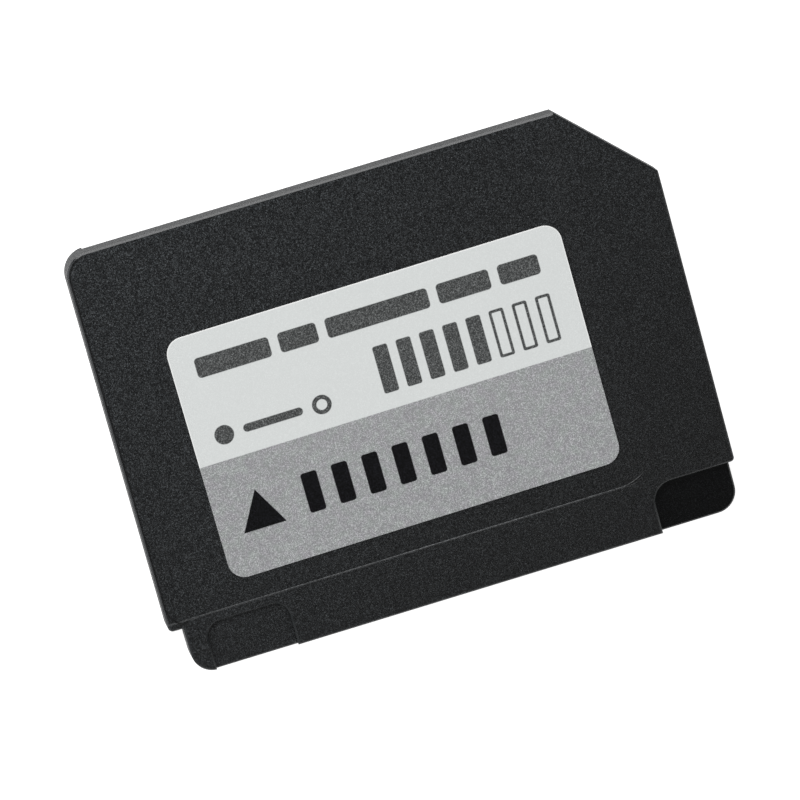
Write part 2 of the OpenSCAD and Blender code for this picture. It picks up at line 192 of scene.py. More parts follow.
def maths(tree, operation, *values, clamp=False):
    """The result of a sum or comparison of one to three values."""
    made = add(tree, "ShaderNodeMath", dict(enumerate(values)), operation=operation)
    made.use_clamp = clamp
    return made.outputs[0]


def product(tree, first, *others):
    """All these values multiplied together."""
    for value in others:
        first = maths(tree, "MULTIPLY", first, value)
    return first


def blended(tree, factor, first, second):
    """The first colour, turned into the second by factor."""
    made = add(tree, "ShaderNodeMix", data_type="RGBA")
    for index, value in ((0, factor), (6, first), (7, second)):
        if isinstance(value, bpy.types.NodeSocket):
            tree.links.new(value, made.inputs[index])
        else:
            made.inputs[index].default_value = value if index == 0 else (*value, 1.0)
    return made.outputs[2]


def scaled(tree, body, low, high, value):
    """A colour made darker or lighter: value 0 gives low times it and value 1 gives high times it."""
    factor = maths(tree, "MULTIPLY_ADD", value, high - low, low)
    grey = add(tree, "ShaderNodeCombineXYZ", {0: factor, 1: factor, 2: factor}).outputs[0]
    made = add(tree, "ShaderNodeVectorMath", {0: body, 1: grey}, operation="MULTIPLY")
    return made.outputs[0]


def stepped(tree, value, low, high):
    """A smooth mask: 0 on the near side of low and 1 beyond high."""
    made = add(
        tree, "ShaderNodeMapRange", {"Value": value, "From Min": low, "From Max": high},
        interpolation_type="SMOOTHSTEP",
    )
    return made.outputs[0]


def place(tree):
    """The point being shaded, in the model's frame."""
    return add(tree, "ShaderNodeTexCoord").outputs["Object"]


def facing(tree):
    """The way the surface faces, in the model's frame."""
    return add(tree, "ShaderNodeTexCoord").outputs["Normal"]


def axes(tree, vector):
    """The x, y and z of a vector."""
    return add(tree, "ShaderNodeSeparateXYZ", {0: vector}).outputs


def group(name, inputs, outputs):
    """A new node group: (tree, its input node, its output node)."""
    tree = bpy.data.node_groups.new(name, "ShaderNodeTree")
    for label, kind, value in inputs:
        socket = tree.interface.new_socket(label, in_out="INPUT", socket_type=kind)
        if value is not None:
            socket.default_value = value
    for label in outputs:
        tree.interface.new_socket(label, in_out="OUTPUT", socket_type="NodeSocketFloat")
    return tree, tree.nodes.new("NodeGroupInput"), tree.nodes.new("NodeGroupOutput")


def use(tree, name, sockets):
    """A node group placed in a material with its own values."""
    return add(tree, "ShaderNodeGroup", node_tree=bpy.data.node_groups[name], sockets=sockets)


# The grain's height: the detail of its noise and the part of the noise that runs from low to high
HEIGHT_DETAIL, HEIGHT_ROUGHNESS, HEIGHT_RANGE = 2.0, 0.6, (0.30, 0.72)
# Its tones: cells to one grain, the share that comes from the height, and the power that keeps most of them dark
TONE_CELLS, TONE_FROM_HEIGHT, TONE_POWER = 1.1, 0.25, 3.0
# Its specks: cells to one grain, the chance from which a cell has one, and its reach from the cell's middle
SPECK_CELLS, SPECK_CHANCE, SPECK_REACH = 0.72, (0.45, 0.95), (0.42, 0.12)
# Its patches: cells to one grain, the detail of their noise and the part of it that runs from low to high
PATCH_CELLS, PATCH_DETAIL, PATCH_ROUGHNESS, PATCH_RANGE = 0.045, 3.0, 0.55, (0.30, 0.70)


def make_grain():
    """Fine grain, each output from 0 to 1: a height, a tone that differs from grain to grain, specks and patches."""
    tree, given, result = group(
        "fine_grain",
        [("Vector", "NodeSocketVector", None), ("Size", "NodeSocketFloat", 0.1 * MM)],
        ["Height", "Tone", "Specks", "Patches"],
    )
    per_grain = maths(tree, "DIVIDE", 1.0, given.outputs["Size"])
    grains = add(
        tree, "ShaderNodeVectorMath", {0: given.outputs["Vector"], "Scale": per_grain}, operation="SCALE"
    ).outputs[0]

    def noise(scale, detail, roughness):
        """A smooth noise over the grains."""
        sockets = {"Vector": grains, "Scale": scale, "Detail": detail, "Roughness": roughness}
        return add(tree, "ShaderNodeTexNoise", sockets).outputs[0]

    def cells(scale):
        """The outputs of a pattern of cells over the grains."""
        return add(tree, "ShaderNodeTexVoronoi", {"Vector": grains, "Scale": scale, "Randomness": 1.0}).outputs

    def channel(socket, index):
        """One channel of a colour."""
        return add(tree, "ShaderNodeSeparateColor", {0: socket}).outputs[index]

    height = stepped(tree, noise(1.0, HEIGHT_DETAIL, HEIGHT_ROUGHNESS), *HEIGHT_RANGE)
    from_height = maths(tree, "MULTIPLY", height, TONE_FROM_HEIGHT)
    grit = channel(cells(TONE_CELLS)["Color"], 1)
    tone = maths(tree, "MULTIPLY_ADD", grit, 1.0 - TONE_FROM_HEIGHT, from_height)
    speck_cells = cells(SPECK_CELLS)
    chosen = stepped(tree, channel(speck_cells["Color"], 0), *SPECK_CHANCE)
    middle = stepped(tree, speck_cells["Distance"], *SPECK_REACH)
    patches = stepped(tree, noise(PATCH_CELLS, PATCH_DETAIL, PATCH_ROUGHNESS), *PATCH_RANGE)
    tree.links.new(height, result.inputs["Height"])
    tree.links.new(maths(tree, "POWER", tone, TONE_POWER), result.inputs["Tone"])
    tree.links.new(maths(tree, "MULTIPLY", chosen, middle), result.inputs["Specks"])
    tree.links.new(patches, result.inputs["Patches"])


def make_bar_row():
    """A row of equal bars with round corners: 1 on the bars and 0 beside them."""
    numbers = ["First X", "Y", "Pitch", "Count", "Half Width", "Half Height", "Corner", "Softness"]
    tree, given, result = group(
        "bar_row",
        [("Vector", "NodeSocketVector", None)] + [(n, "NodeSocketFloat", 0.0) for n in numbers],
        ["Mask"],
    )
    first, row_y, pitch, count, half_w, half_h, corner, soft = (given.outputs[n] for n in numbers)
    split = axes(tree, given.outputs["Vector"])
    along = maths(tree, "SUBTRACT", split[0], first)
    nearest = maths(tree, "ROUND", maths(tree, "DIVIDE", along, pitch))
    last = maths(tree, "SUBTRACT", count, 1.0)
    bar = maths(tree, "MAXIMUM", maths(tree, "MINIMUM", nearest, last), 0.0)
    x = maths(tree, "ABSOLUTE", maths(tree, "SUBTRACT", along, maths(tree, "MULTIPLY", bar, pitch)))
    y = maths(tree, "ABSOLUTE", maths(tree, "SUBTRACT", split[1], row_y))
    past_x = maths(tree, "ADD", maths(tree, "SUBTRACT", x, half_w), corner)
    past_y = maths(tree, "ADD", maths(tree, "SUBTRACT", y, half_h), corner)
    out_x, out_y = (maths(tree, "MAXIMUM", p, 0.0) for p in (past_x, past_y))
    outside = maths(tree, "SQRT", maths(tree, "MULTIPLY_ADD", out_x, out_x, maths(tree, "MULTIPLY", out_y, out_y)))
    inside = maths(tree, "MINIMUM", maths(tree, "MAXIMUM", past_x, past_y), 0.0)
    off = maths(tree, "SUBTRACT", maths(tree, "ADD", outside, inside), corner)
    mask = maths(tree, "SUBTRACT", 0.5, maths(tree, "DIVIDE", off, soft), clamp=True)
    tree.links.new(mask, result.inputs["Mask"])


# How far up or down a surface faces where it starts to count as sloping, seen from a wall and from a flat face
SLOPE_FROM_WALL, SLOPE_FROM_FACE = (0.35, 0.60), (0.97, 0.85)


def make_edges():
    """A mask of the surfaces that slope, such as broken edges: 0 on flat faces and upright walls."""
    tree, given, result = group("sloping_faces", [("Vector", "NodeSocketVector", None)], ["Mask"])
    up = maths(tree, "ABSOLUTE", axes(tree, given.outputs["Vector"])[2])
    steep, shallow = stepped(tree, up, *SLOPE_FROM_WALL), stepped(tree, up, *SLOPE_FROM_FACE)
    tree.links.new(maths(tree, "MULTIPLY", steep, shallow), result.inputs["Mask"])


GROUPS = {"fine_grain": make_grain, "bar_row": make_bar_row, "sloping_faces": make_edges}


def new_material(name, roughness, metallic=0.0):
    """A material with its node groups at hand: (material, tree, shader)."""
    for group_name, make in GROUPS.items():
        if group_name not in bpy.data.node_groups:
            make()
    material = bpy.data.materials.new(name)
    material.use_nodes = True
    shader = material.node_tree.nodes["Principled BSDF"]
    shader.inputs["Roughness"].default_value = roughness
    shader.inputs["Metallic"].default_value = metallic
    return material, material.node_tree, shader


def finish_nodes(material, names):
    """Gives these nodes of the packed model the material, in place of their plain one."""
    for name in names:
        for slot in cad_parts[name].material_slots:
            slot.material = material


def nodes_named(*starts):
    """The packed model's nodes whose names start with one of these words."""
    found = sorted(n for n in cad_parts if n.startswith(starts))
    if not found:
        raise RuntimeError(f"the packed model has no node that starts with {starts}")
    return found


def join(tree, shader, **sockets):
    """Joins outputs to the shader's sockets, with spaces in place of underscores."""
    for name, value in sockets.items():
        tree.links.new(value, shader.inputs[name.replace("_", " ")])


def fine_grain(tree, here, size):
    """The outputs of the grain's node group, for grains of one size."""
    return use(tree, "fine_grain", {"Vector": here, "Size": size}).outputs


def relief(tree, height, depth):
    """A normal from a height from 0 to 1 that stands for depth metres."""
    made = add(tree, "ShaderNodeBump", {"Height": height, "Distance": depth, "Strength": 1.0})
    return made.outputs["Normal"]


def grain_roughness(tree, grain, middle, spread):
    """A roughness that rises with the grain's height by spread in all, half of it on each side of middle."""
    return maths(tree, "MULTIPLY_ADD", grain["Height"], spread, middle - spread / 2)


# How soft the edges of the print and of the other marks are
PRINT_EDGE = 0.03 * MM


def marks(tree, here, rows):
    """A mask of rows of bars, each in millimetres: first x, y, pitch, count, half width, half height and corner."""
    mask = 0.0
    names = ["First X", "Y", "Pitch", "Half Width", "Half Height", "Corner"]
    for first, y, pitch, count, half_w, half_h, corner in rows:
        sizes = {n: v * MM for n, v in zip(names, (first, y, pitch, half_w, half_h, corner))}
        row = use(tree, "bar_row", {"Vector": here, "Count": count, "Softness": PRINT_EDGE, **sizes}).outputs[0]
        mask = maths(tree, "MAXIMUM", row, mask)
    return mask


# Soft bounds on the cover: depths below the label face, and distances from the tail's end
UPPER_SIDE_DEPTHS = (0.20 * MM, 0.12 * MM)
LEDGE_DEPTHS = (0.42 * MM, 0.48 * MM)
TAIL_REACHES = (2.11 * MM, 2.04 * MM)
# How far to the left a broken edge faces where its painted light starts to show
LEFTWARD = (-0.35, -0.60)
# How much darker and lighter the broad patches of the plastic and of the inner pieces are
PATCH_SHADES = (0.94, 1.06)
# Steps in the roughness: from grain to grain, and on the ledge and the broken edges
COVER_GRAIN_ROUGHNESS, SMOOTH_ROUGHNESS = 0.16, -0.15
# How much the specks add to the grain's height, and how much of that height the smooth parts lose
SPECK_HEIGHT, SMOOTHED = 0.5, 0.75
# The lower edge of the label's field: its y, where its arc begins, and that arc's radius
FIELD_EDGE_Y, FIELD_ARC_X, FIELD_ARC_RADIUS = -6.635 * MM, 7.2 * MM, 1.75 * MM
# How far that edge's painted highlight reaches to each side, and how far up the arc it runs
FIELD_LINE_REACHES, FIELD_ARC_RISE = (0.020 * MM, 0.006 * MM), (0.42 * MM, 0.15 * MM)
# How far from the card's middle the line is half as light, and what it has lost there
FIELD_EDGE_FADE, FADE_LOSS = 11.0 * MM, -0.5
# The painted highlight's breakup: the size of its parts in grains, how much they vary and how light the darkest still
# are
BREAKUP_GRAINS, BREAKUP_VARIES, BREAKUP_LEAST = 2.5, 0.7, 0.3
# The body's plan above the tail, in millimetres: its middle's y, half sizes and corner radius
BODY_Y, BODY_HALF_WIDTH, BODY_HALF_LENGTH, BODY_CORNER = 1.025, 12.0, 7.975, 1.0
# How far inside that plan the painted shade line on the left lies, in millimetres, and the x where it begins and ends
SIDE_SHADE_INSETS, SIDE_SHADE_X = (0.07, 0.15), (-11.0 * MM, -11.5 * MM)


def upper_side(tree, split):
    """A mask of the card's upper faces: 0 on its underside."""
    return stepped(tree, split[2], *(COVER_HIGH.z - depth for depth in UPPER_SIDE_DEPTHS))


def field_edge_highlight(tree, split):
    """A mask of the painted highlight along the lower edge of the label's field, which turns up in an arc at its
    right end.
    """
    past = maths(tree, "MAXIMUM", maths(tree, "SUBTRACT", split[0], FIELD_ARC_X), 0.0)
    below = maths(tree, "SUBTRACT", FIELD_EDGE_Y + FIELD_ARC_RADIUS, split[1])
    reach = maths(tree, "SQRT", maths(tree, "MULTIPLY_ADD", past, past, maths(tree, "MULTIPLY", below, below)))
    off = maths(tree, "ABSOLUTE", maths(tree, "SUBTRACT", reach, FIELD_ARC_RADIUS))
    line = stepped(tree, off, *FIELD_LINE_REACHES)
    foot = stepped(tree, split[1], *(FIELD_EDGE_Y + rise for rise in FIELD_ARC_RISE))
    span = maths(tree, "DIVIDE", split[0], FIELD_EDGE_FADE)
    middle = maths(tree, "MULTIPLY_ADD", maths(tree, "MULTIPLY", span, span), FADE_LOSS, 1.0, clamp=True)
    return product(tree, line, maths(tree, "MULTIPLY", middle, foot), upper_side(tree, split))


def painted_side_shade(tree, here, split):
    """A mask of the painted shade: a dark line where the face's grain stops short of the broken edge on the left."""
    outer, inner = (
        marks(tree, here, [
            (0.0, BODY_Y, 1.0, 1, BODY_HALF_WIDTH - inset, BODY_HALF_LENGTH - inset, BODY_CORNER - inset)
        ])
        for inset in SIDE_SHADE_INSETS
    )
    ring = maths(tree, "SUBTRACT", outer, inner)
    return product(tree, ring, upper_side(tree, split), stepped(tree, split[0], *SIDE_SHADE_X))


class CARD_OT_finish_cover(Operator):
    """Gives the cover its black grained plastic with painted glints and a painted sheen, its broken edges with
    painted light on the left ones, a painted highlight along the label field's edge, a painted shade line on the left
    and a smooth ledge in painted shade
    """

    bl_idname = "card.finish_cover"
    bl_label = "Finish the cover"

    def execute(self, context):
        finish = context.scene.card_cover
        material, tree, shader = new_material("cover_plastic", finish.roughness)
        here, towards = place(tree), facing(tree)
        split = axes(tree, here)
        grain = fine_grain(tree, here, finish.grain)
        edges = use(tree, "sloping_faces", {"Vector": towards}).outputs[0]
        leftward = stepped(tree, axes(tree, towards)[0], *LEFTWARD)
        low = stepped(tree, split[2], *(COVER_HIGH.z - depth for depth in LEDGE_DEPTHS))
        tail = stepped(tree, split[1], *(COVER_LOW.y + reach for reach in TAIL_REACHES))
        ledge = maths(tree, "MULTIPLY", low, tail)
        smooth = maths(tree, "MAXIMUM", ledge, edges)

        # The grain's own tone with painted glints: the few light grains that the glint power leaves, and the specks'
        # colour, stand in for the grain catching the light
        glint = maths(tree, "POWER", grain["Tone"], finish.glint)
        face = blended(tree, glint, finish.plastic, finish.grain_light)
        face = blended(tree, maths(tree, "MULTIPLY", grain["Specks"], finish.glint_specks_shown), face, finish.speck)
        face = scaled(tree, face, *PATCH_SHADES, grain["Patches"])
        # Painted sheen: the plastic lighter towards the contact end's left corner and darker towards the right and
        # the tail
        painted_sheen = maths(tree, "MULTIPLY_ADD", split[1], finish.sheen_along, 1.0)
        painted_sheen = maths(tree, "MULTIPLY_ADD", split[0], finish.sheen_across, painted_sheen)
        face = scaled(tree, face, 0.0, 1.0, painted_sheen)

        # Painted light on the broken edges that face left
        broken = blended(tree, leftward, finish.broken_edge, finish.side_edge_light)
        broken = blended(tree, tail, broken, finish.tail_edge)
        face = blended(tree, maths(tree, "MULTIPLY", edges, finish.edge_cover), face, broken)
        # Painted highlight along the lower edge of the label's field, broken up along its length
        highlight_breakup = fine_grain(tree, here, BREAKUP_GRAINS * finish.grain)["Height"]
        highlight_strength = maths(tree, "MULTIPLY_ADD", highlight_breakup, BREAKUP_VARIES, BREAKUP_LEAST)
        face = blended(tree, maths(tree, "MULTIPLY", field_edge_highlight(tree, split), highlight_strength), face, finish.field_edge_highlight)
        # Painted shade: a dark line just inside the broken edge on the left
        face = blended(tree, painted_side_shade(tree, here, split), face, finish.plastic)
        # Painted shade: the recessed ledge floor keeps only ledge_shade of its colour
        shade = maths(tree, "SUBTRACT", 1.0, maths(tree, "MULTIPLY", ledge, 1.0 - finish.ledge_shade))
        face = scaled(tree, face, 0.0, 1.0, shade)

        rough = grain_roughness(tree, grain, finish.roughness, COVER_GRAIN_ROUGHNESS)
        rough = maths(tree, "MULTIPLY_ADD", smooth, SMOOTH_ROUGHNESS, rough)
        raised = maths(tree, "MULTIPLY_ADD", grain["Specks"], SPECK_HEIGHT, grain["Height"])
        kept = maths(tree, "SUBTRACT", 1.0, maths(tree, "MULTIPLY", smooth, SMOOTHED))
        normal = relief(tree, maths(tree, "MULTIPLY", raised, kept), finish.grain_depth)
        join(tree, shader, Base_Color=face, Roughness=rough, Normal=normal)
        finish_nodes(material, ["cover"])
        return {"FINISHED"}


# Marks on the label, in millimetres from its middle. Those on the upper field:
GREY_MARKS = [
    (-5.75, 3.70, 1.0, 1, 1.55, 0.42, 0.16),
    (-3.02, 3.70, 1.0, 1, 0.80, 0.42, 0.16),
    (0.31, 3.70, 1.0, 1, 2.15, 0.42, 0.16),
    (3.94, 3.70, 1.0, 1, 1.10, 0.42, 0.16),
    (6.27, 3.70, 1.0, 1, 0.85, 0.42, 0.16),
    (0.02, 1.42, 0.98, 5, 0.31, 1.00, 0.10),
    (4.92, 1.42, 0.98, 3, 0.31, 1.00, 0.10),
    (-6.95, 0.78, 1.0, 1, 0.40, 0.40, 0.40),
    (-4.90, 0.78, 1.0, 1, 1.25, 0.17, 0.17),
    (-2.85, 0.78, 1.0, 1, 0.40, 0.40, 0.40),
]
# Paper that shows inside some of them, so that they read as outlines
GREY_OPENINGS = [
    (4.92, 1.42, 0.98, 3, 0.19, 0.88, 0.04),
    (-2.85, 0.78, 1.0, 1, 0.22, 0.22, 0.22),
]
# Marks on the lower field
BLACK_MARKS = [
    (-4.15, -2.55, 1.28, 7, 0.34, 0.84, 0.12),
]
ARROW = {"x": -6.4, "foot": -3.39, "top": -1.71, "half_width": 0.92}
# The whole print, inside the label's unprinted rim
LABEL_PRINT = [(0.0, 0.0, 1.0, 1, 8.245, 5.095, 0.67)]
# How dark and how light the paper, the printed grey and each ink get from speck to speck
PAPER_TONES, SCREEN_TONES = (0.970, 1.13), (0.68, 1.94)
GREY_INK_TONES, BLACK_INK_TONES = (0.4, 3.2), (0.0, 8.0)
# Specks of the screen to one tinted patch, and how dark and how light the patches are
TINT_SPECKS, TINT_SHADES = 14, (0.97, 1.03)
# How far up the label's surface faces where it is taken for the cut edge
CUT_EDGE_UP = (0.7, 0.3)
# What ink adds to the roughness, and the screen's height as a share of the print's thickness
INK_ROUGHNESS, SCREEN_HEIGHT = -0.10, 0.25


def arrow_mask(tree, split):
    """A mask of an arrow head that points to the contact end."""
    slope = ARROW["half_width"] / (ARROW["top"] - ARROW["foot"])
    down = maths(tree, "SUBTRACT", ARROW["top"] * MM, split[1])
    aside = maths(tree, "ABSOLUTE", maths(tree, "SUBTRACT", split[0], ARROW["x"] * MM))
    within = maths(tree, "SUBTRACT", maths(tree, "MULTIPLY", down, slope), aside)
    above = maths(tree, "SUBTRACT", split[1], ARROW["foot"] * MM)
    least = maths(tree, "MINIMUM", within, above)
    return maths(tree, "DIVIDE", least, PRINT_EDGE, clamp=True)


class CARD_OT_finish_label(Operator):
    """Gives the label its two fields, its plain marks and its pale cut edge"""

    bl_idname = "card.finish_label"
    bl_label = "Finish the label"

    def execute(self, context):
        finish = context.scene.card_label
        material, tree, shader = new_material("label_paper", finish.roughness)
        spot = place(tree)
        middle = (LABEL_LOW + LABEL_HIGH) / 2
        here = add(
            tree, "ShaderNodeMapping", {"Vector": spot, "Location": middle, "Rotation": (0, 0, finish.turn)},
            vector_type="TEXTURE",
        ).outputs[0]
        split = axes(tree, here)
        grain = fine_grain(tree, spot, finish.screen)
        broad = fine_grain(tree, spot, TINT_SPECKS * finish.screen)["Height"]
        half = PRINT_EDGE / 2
        lower = stepped(tree, split[1], finish.field_line + half, finish.field_line - half)

        paper = scaled(tree, finish.paper, *PAPER_TONES, grain["Tone"])
        screened = scaled(tree, finish.lower_field, *SCREEN_TONES, grain["Tone"])
        screened = scaled(tree, screened, *TINT_SHADES, broad)
        tint = blended(tree, broad, finish.purplish, finish.greenish)
        screened = add(tree, "ShaderNodeVectorMath", {0: screened, 1: tint}, operation="MULTIPLY").outputs[0]
        field = blended(tree, lower, paper, screened)

        closed = maths(tree, "SUBTRACT", 1.0, marks(tree, here, GREY_OPENINGS))
        grey = maths(tree, "MINIMUM", marks(tree, here, GREY_MARKS), closed)
        black = maths(tree, "MAXIMUM", marks(tree, here, BLACK_MARKS), arrow_mask(tree, split))
        field = blended(tree, grey, field, scaled(tree, finish.grey_ink, *GREY_INK_TONES, grain["Tone"]))
        field = blended(tree, black, field, scaled(tree, finish.black_ink, *BLACK_INK_TONES, grain["Tone"]))

        rim = maths(tree, "SUBTRACT", 1.0, marks(tree, here, LABEL_PRINT))
        rim = maths(tree, "MULTIPLY", rim, maths(tree, "MULTIPLY_ADD", lower, -finish.rim, finish.rim))
        rim = maths(tree, "MAXIMUM", stepped(tree, axes(tree, facing(tree))[2], *CUT_EDGE_UP), rim)
        field = blended(tree, rim, field, finish.cut_edge)

        printed = maths(tree, "MAXIMUM", grey, black)
        rough = maths(tree, "MULTIPLY_ADD", printed, INK_ROUGHNESS, finish.roughness)
        height = maths(tree, "MULTIPLY_ADD", grain["Height"], SCREEN_HEIGHT, printed)
        join(tree, shader, Base_Color=field, Roughness=rough, Normal=relief(tree, height, finish.relief))
        finish_nodes(material, ["label"])
        return {"FINISHED"}


# Sizes on the circuit board, in millimetres: how far a trace runs from its contact to its via, the radii of the vias
# and of their holes, where the second row of vias lies, and half the length and the y of the traces that run from it
TRACE_REACH = 2.2
FIRST_VIA, SECOND_VIA, VIA_HOLE = 0.3, 0.28, 0.11
SECOND_ROW_Y, SECOND_TRACES_Y, SECOND_TRACES_HALF = -2.6, -3.9, 1.3
# The copper under each contact, in millimetres: half its width, half its length and its corner
PAD_HALF_WIDTH, PAD_HALF_LENGTH, PAD_CORNER = 0.9, 2.1, 0.15
# The corner of the traces that end at the board's edge, in millimetres
SQUARE_CORNER = 0.01
# How much darker and lighter the laminate's patches are, and the painted shade that darkens a via's hole
WEAVE_SHADES, PAINTED_HOLE_SHADE = (0.85, 1.15), (1.0, 0.4)
# The roughness that grain adds, and the depth of a hole and of the grain in thicknesses of the copper
BOARD_GRAIN_ROUGHNESS, HOLE_DEPTH, BOARD_GRAIN_HEIGHT = 0.10, 1.4, 0.08


def contact_row():
    """The row of contacts, in millimetres: its first x, its pitch and count, and the y of its foot and its head."""
    names = nodes_named("contact_pad_")
    boxes = [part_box(name) for name in names]
    middles = sorted((low.x + high.x) / 2 / MM for low, high in boxes)
    pitch = (middles[-1] - middles[0]) / (len(middles) - 1)
    low, high = boxes[0]
    return middles[0], pitch, len(middles), low.y / MM, high.y / MM


class CARD_OT_finish_board(Operator):
    """Gives the circuit board its solder mask, with copper traces and vias that show under it"""

    bl_idname = "card.finish_board"
    bl_label = "Finish the board"

    def execute(self, context):
        finish = context.scene.card_board
        material, tree, shader = new_material("board_laminate", finish.roughness)
        here = place(tree)
        first, pitch, count, foot, head = contact_row()
        second = first + pitch / 2
        edge = BOARD_HIGH.y / MM
        half = finish.trace_width / MM / 2
        first_row_y = foot - TRACE_REACH
        copper = marks(tree, here, [
            (first, foot - TRACE_REACH / 2, pitch, count, half, TRACE_REACH / 2, half),
            (first, first_row_y, pitch, count, FIRST_VIA, FIRST_VIA, FIRST_VIA),
            (first, (head + edge) / 2, pitch, count, half, (edge - head) / 2, SQUARE_CORNER),
            (first, (foot + head) / 2, pitch, count, PAD_HALF_WIDTH, PAD_HALF_LENGTH, PAD_CORNER),
            (second, SECOND_ROW_Y, pitch, count - 1, SECOND_VIA, SECOND_VIA, SECOND_VIA),
            (second, SECOND_TRACES_Y, pitch, count - 1, half, SECOND_TRACES_HALF, half),
        ])
        holes = marks(tree, here, [
            (first, first_row_y, pitch, count, VIA_HOLE, VIA_HOLE, VIA_HOLE),
            (second, SECOND_ROW_Y, pitch, count - 1, VIA_HOLE, VIA_HOLE, VIA_HOLE),
        ])
        grain = fine_grain(tree, here, finish.grain)
        weave = fine_grain(tree, here, finish.weave)["Height"]
        mask = blended(tree, copper, finish.mask, finish.copper_under)
        mask = scaled(tree, mask, *WEAVE_SHADES, weave)
        # Painted shade in the via holes
        mask = scaled(tree, mask, *PAINTED_HOLE_SHADE, holes)
        rough = grain_roughness(tree, grain, finish.roughness, BOARD_GRAIN_ROUGHNESS)
        height = maths(tree, "SUBTRACT", copper, maths(tree, "MULTIPLY", holes, HOLE_DEPTH))
        height = maths(tree, "MULTIPLY_ADD", grain["Height"], BOARD_GRAIN_HEIGHT, height)
        join(tree, shader, Base_Color=mask, Roughness=rough, Normal=relief(tree, height, finish.relief))
        finish_nodes(material, ["circuit_board"])
        return {"FINISHED"}


# The track that a spring rubs on a contact, in millimetres: how far it lies towards the contact end, half its width,
# half its length and its corner
TRACK_AHEAD, TRACK_HALF_WIDTH, TRACK_HALF_LENGTH, TRACK_CORNER = 0.35, 0.22, 1.35, 0.2
# How far the lines are drawn out along the contact
DRAWN_OUT = (1.0, 0.04, 1.0)
# How dark and how light the plating is, the roughness that grain and wear add, and the lines' height off and on the
# track
GOLD_SHADES, GOLD_GRAIN_ROUGHNESS, WORN_ROUGHNESS = (0.92, 1.06), 0.10, 0.12
LINES_OFF_TRACK, LINES_ON_TRACK = 0.2, 0.6


class CARD_OT_finish_contacts(Operator):
    """Gives the seven contacts their gold plating, rubbed lengthwise where a socket's springs run"""

    bl_idname = "card.finish_contacts"
    bl_label = "Finish the contacts"

    def execute(self, context):
        finish = context.scene.card_contact
        material, tree, shader = new_material("contact_plating", finish.roughness, metallic=1.0)
        here = place(tree)
        drawn = add(tree, "ShaderNodeMapping", {"Vector": here, "Scale": DRAWN_OUT}).outputs[0]
        lines = fine_grain(tree, drawn, finish.line)["Height"]
        grain = fine_grain(tree, here, finish.grain)
        first, pitch, count, foot, head = contact_row()
        track_y = (foot + head) / 2 + TRACK_AHEAD
        track = marks(tree, here, [
            (first, track_y, pitch, count, TRACK_HALF_WIDTH, TRACK_HALF_LENGTH, TRACK_CORNER),
        ])
        worn = maths(tree, "MULTIPLY", track, lines)
        gold = blended(tree, worn, finish.gold, finish.rubbed)
        gold = scaled(tree, gold, *GOLD_SHADES, grain["Patches"])
        rough = grain_roughness(tree, grain, finish.roughness, GOLD_GRAIN_ROUGHNESS)
        rough = maths(tree, "MULTIPLY_ADD", worn, WORN_ROUGHNESS, rough)
        depth = maths(tree, "MULTIPLY_ADD", track, LINES_ON_TRACK, LINES_OFF_TRACK)
        height = maths(tree, "MULTIPLY", lines, depth)
        join(tree, shader, Base_Color=gold, Roughness=rough, Normal=relief(tree, height, finish.relief))
        finish_nodes(material, nodes_named("contact_pad_"))
        return {"FINISHED"}


# How much lighter than its contrast a speck of a plain material is, and the roughness that its grain adds
PLAIN_SPECK_LIGHT, PLAIN_GRAIN_ROUGHNESS = 0.01, 0.12


def grained(name, shade, size, roughness, depth, contrast, metallic=0.0):
    """A material of one colour with fine grain, broad patches and a slight relief."""
    material, tree, shader = new_material(name, roughness, metallic)
    grain = fine_grain(tree, place(tree), size)
    speck = [min(1.0, channel * (1.0 + contrast) + PLAIN_SPECK_LIGHT) for channel in shade]
    body = blended(tree, grain["Specks"], shade, speck)
    body = scaled(tree, body, 1.0 - contrast, 1.0 + contrast, grain["Height"])
    body = scaled(tree, body, *PATCH_SHADES, grain["Patches"])
    rough = grain_roughness(tree, grain, roughness, PLAIN_GRAIN_ROUGHNESS)
    join(tree, shader, Base_Color=body, Roughness=rough, Normal=relief(tree, grain["Height"], depth))
    return material


class CARD_OT_finish_moulding(Operator):
    """Gives the epoxy moulding and the adhesive films their finishes"""

    bl_idname = "card.finish_moulding"
    bl_label = "Finish the moulding and films"

    def execute(self, context):
        finish = context.scene.card_module
        epoxy = grained(
            "moulding_epoxy", finish.epoxy, finish.grain, roughness=0.62, depth=0.004 * MM, contrast=0.25
        )
        film = grained(
            "adhesive_film", finish.film, 2 * finish.grain, roughness=0.55, depth=0.002 * MM, contrast=0.06
        )
        finish_nodes(epoxy, ["chip_moulding"])
        finish_nodes(film, ["adhesive_film", "memory_chip_film", "controller_chip_film"])
        return {"FINISHED"}


class CARD_OT_finish_chips(Operator):
    """Gives the two chips polished silicon and the bond wires drawn gold"""

    bl_idname = "card.finish_chips"
    bl_label = "Finish the chips and wires"

    def execute(self, context):
        module, contact = context.scene.card_module, context.scene.card_contact
        silicon = grained(
            "polished_silicon", module.silicon, 1.5 * module.grain, roughness=0.18, depth=0.0005 * MM,
            contrast=0.10, metallic=0.4,
        )
        wire = grained(
            "gold_wire", contact.gold, 0.25 * module.grain, roughness=0.22, depth=0.0005 * MM,
            contrast=0.05, metallic=1.0,
        )
        finish_nodes(silicon, ["memory_chip", "controller_chip"])
        finish_nodes(wire, ["bond_wires"])
        return {"FINISHED"}


